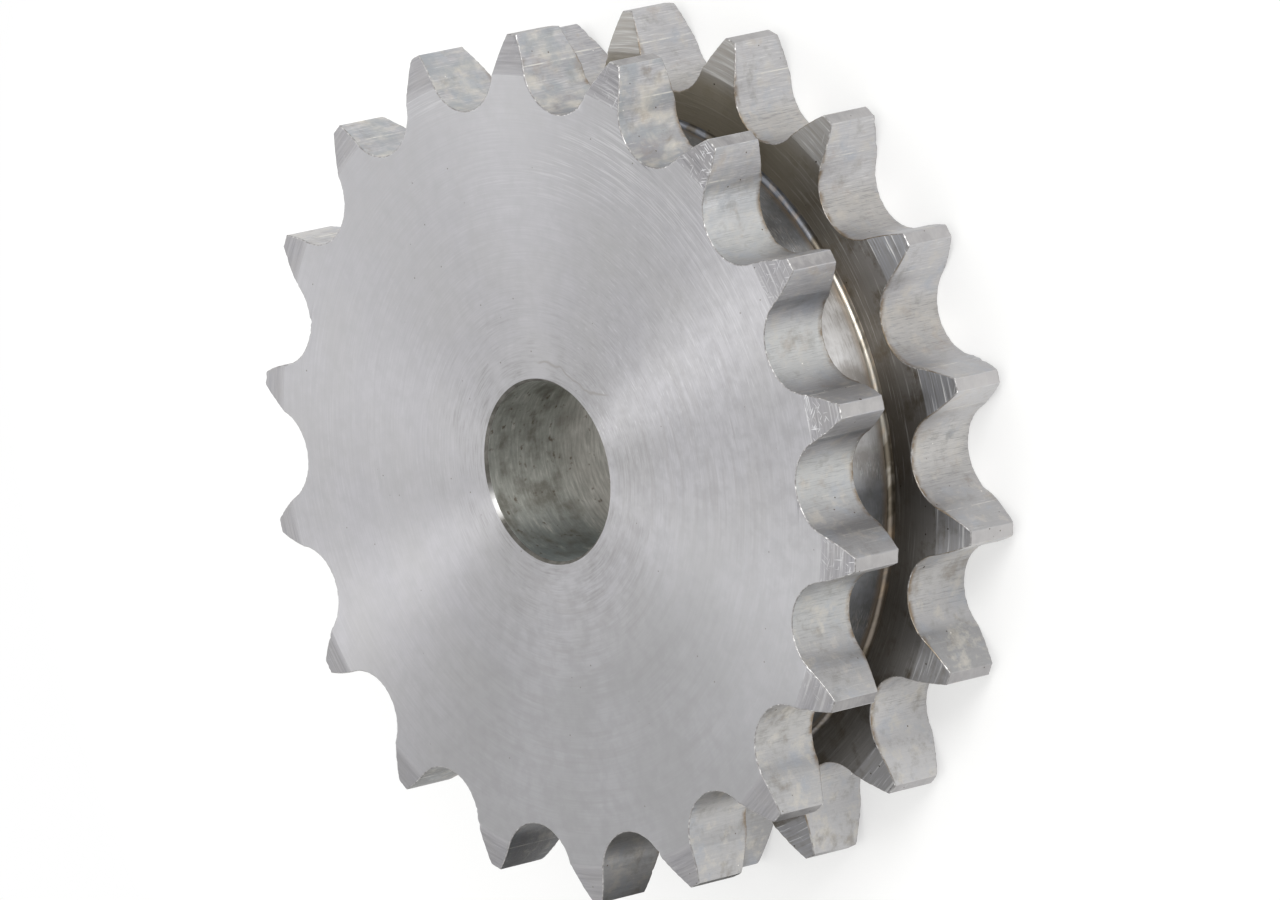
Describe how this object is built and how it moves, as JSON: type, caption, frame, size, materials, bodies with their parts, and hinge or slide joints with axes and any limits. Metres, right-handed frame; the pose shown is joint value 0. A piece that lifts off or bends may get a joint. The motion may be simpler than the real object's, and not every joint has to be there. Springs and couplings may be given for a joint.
{
  "type": "chain sprocket",
  "caption": "Plate-wheel sprocket for a duplex roller chain, with aligned rows of teeth, a groove between them and a plain pilot bore.",
  "frame": {"origin": "on the bore's axis, at the rear face that the wheel lies on", "axes": "+Z along the bore's axis to the front face; +X through the middle of a tooth of each row"},
  "size_m": [0.0578, 0.0572, 0.0153],
  "materials": {
    "steel": "bare steel: faces and groove turned on a lathe, teeth milled"
  },
  "bodies": {
    "root": {"sprocket": "steel"}
  },
  "joints": []
}
